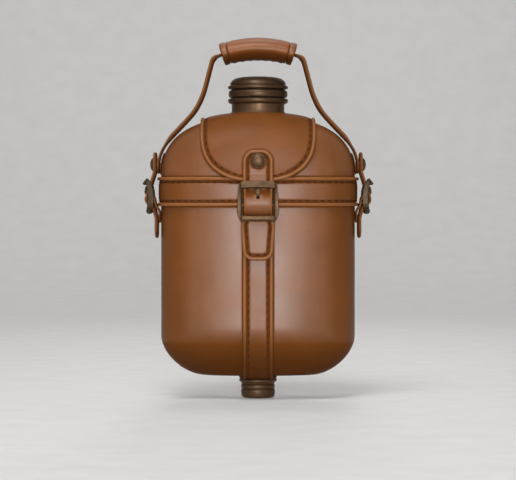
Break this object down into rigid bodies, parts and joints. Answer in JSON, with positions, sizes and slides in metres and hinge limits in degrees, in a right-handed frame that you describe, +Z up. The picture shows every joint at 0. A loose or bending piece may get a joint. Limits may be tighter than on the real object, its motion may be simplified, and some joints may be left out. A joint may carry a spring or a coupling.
{
  "type": "leather-covered water flask",
  "caption": "Upright metal water flask in a stitched leather jacket with shoulder flap, buckled straps, screw cap, bottom outlet and a padded carrying handle.",
  "frame": {"origin": "centre of the bottom cap's flat underside, on the ground", "axes": "+Z up through the neck, -Y towards the front with the buckled strap, +X to the flask's right side as seen from the front"},
  "size_m": [0.1956, 0.1157, 0.3057],
  "materials": {
    "body_leather": "smooth tan-brown leather, slightly glossy",
    "flap_leather": "smooth tan-brown leather, semi-matt",
    "strap_leather": "smooth tan-brown strap leather",
    "edge_leather": "rolled leather edging, burnished",
    "grip_leather": "polished wrapped leather",
    "buckle_bronze": "antique bronze plate",
    "dark_bronze": "dark patinated bronze",
    "tinned_steel": "tinned inside and out",
    "seal_rubber": "matt black rubber",
    "felt_padding": "pressed felt"
  },
  "bodies": {
    "flask": {"vessel_front": "tinned_steel", "vessel_back": "tinned_steel", "neck_ring": "dark_bronze", "outlet_tube": "dark_bronze", "outlet_collar": "dark_bronze", "jacket_front": "body_leather", "jacket_back": "body_leather", "shoulder_flap": "flap_leather", "flap_welt": "edge_leather", "waist_belt": "strap_leather", "belt_welt_lower": "edge_leather", "belt_welt_upper": "edge_leather", "front_billet": "strap_leather", "front_billet_welt": "edge_leather", "front_stud": "buckle_bronze", "front_buckle": "buckle_bronze", "base_strap": "strap_leather", "base_strap_welt": "edge_leather", "back_stud": "buckle_bronze", "left_anchor_patch": "strap_leather", "left_billet": "strap_leather", "left_billet_welt": "edge_leather", "left_stud": "buckle_bronze", "left_chape": "strap_leather", "left_buckle": "buckle_bronze", "right_anchor_patch": "strap_leather", "right_billet": "strap_leather", "right_billet_welt": "edge_leather", "right_stud": "buckle_bronze", "right_chape": "strap_leather", "right_buckle": "buckle_bronze"},
    "cap_seal": {"cap_gasket": "seal_rubber"},
    "cap": {"screw_cap": "dark_bronze"},
    "drain_seal": {"drain_gasket": "seal_rubber"},
    "drain": {"drain_cap": "dark_bronze"},
    "handle": {"handle_strap": "strap_leather", "grip_wrap": "grip_leather", "grip_band_left": "strap_leather", "grip_band_right": "strap_leather", "grip_padding_upper": "felt_padding", "grip_padding_lower": "felt_padding"},
    "front_tongue": {"front_tongue": "buckle_bronze"},
    "front_roller": {"front_roller": "buckle_bronze"},
    "left_tongue": {"left_tongue": "buckle_bronze"},
    "left_roller": {"left_roller": "buckle_bronze"},
    "right_tongue": {"right_tongue": "buckle_bronze"},
    "right_roller": {"right_roller": "buckle_bronze"}
  },
  "joints": [
    {"name": "handle_swing", "type": "hinge", "parent": "flask", "child": "handle", "pos_m": [0, 0, 0.1983], "axis": [1, 0, 0], "range_deg": [-26, 26]},
    {"name": "cap_lift", "type": "slide", "parent": "flask", "child": "cap_seal", "axis": [0, 0, 1], "range_m": [0, 0.01001]},
    {"name": "cap_turn", "type": "hinge", "parent": "cap_seal", "child": "cap", "pos_m": [0, 0, 0.26], "axis": [0, 0, 1], "range_deg": [0, 900]},
    {"name": "drain_drop", "type": "slide", "parent": "flask", "child": "drain_seal", "axis": [0, 0, -1], "range_m": [0, 0.00641]},
    {"name": "drain_turn", "type": "hinge", "parent": "drain_seal", "child": "drain", "pos_m": [0, 0, 0], "axis": [0, 0, -1], "range_deg": [0, 720]},
    {"name": "front_tongue_hinge", "type": "hinge", "parent": "flask", "child": "front_tongue", "pos_m": [0, -0.0527, 0.1673], "axis": [1, 0, 0], "range_deg": [0, 25]},
    {"name": "front_roller_spin", "type": "hinge", "parent": "flask", "child": "front_roller", "pos_m": [0, -0.0548, 0.1531], "axis": [1, 0, 0], "continuous": true},
    {"name": "left_tongue_hinge", "type": "hinge", "parent": "flask", "child": "left_tongue", "pos_m": [-0.09, 0, 0.1688], "axis": [0, -1, 0], "range_deg": [0, 25]},
    {"name": "left_roller_spin", "type": "hinge", "parent": "flask", "child": "left_roller", "pos_m": [-0.0921, 0, 0.1589], "axis": [0, 1, 0], "continuous": true},
    {"name": "right_tongue_hinge", "type": "hinge", "parent": "flask", "child": "right_tongue", "pos_m": [0.09, 0, 0.1688], "axis": [0, 1, 0], "range_deg": [0, 25]},
    {"name": "right_roller_spin", "type": "hinge", "parent": "flask", "child": "right_roller", "pos_m": [0.0921, 0, 0.1589], "axis": [0, 1, 0], "continuous": true}
  ],
  "couplings": [
    {"joint": "cap_lift", "follows": "cap_turn", "m_per_rad": 0.00063662},
    {"joint": "drain_drop", "follows": "drain_turn", "m_per_rad": 0.0005093}
  ]
}
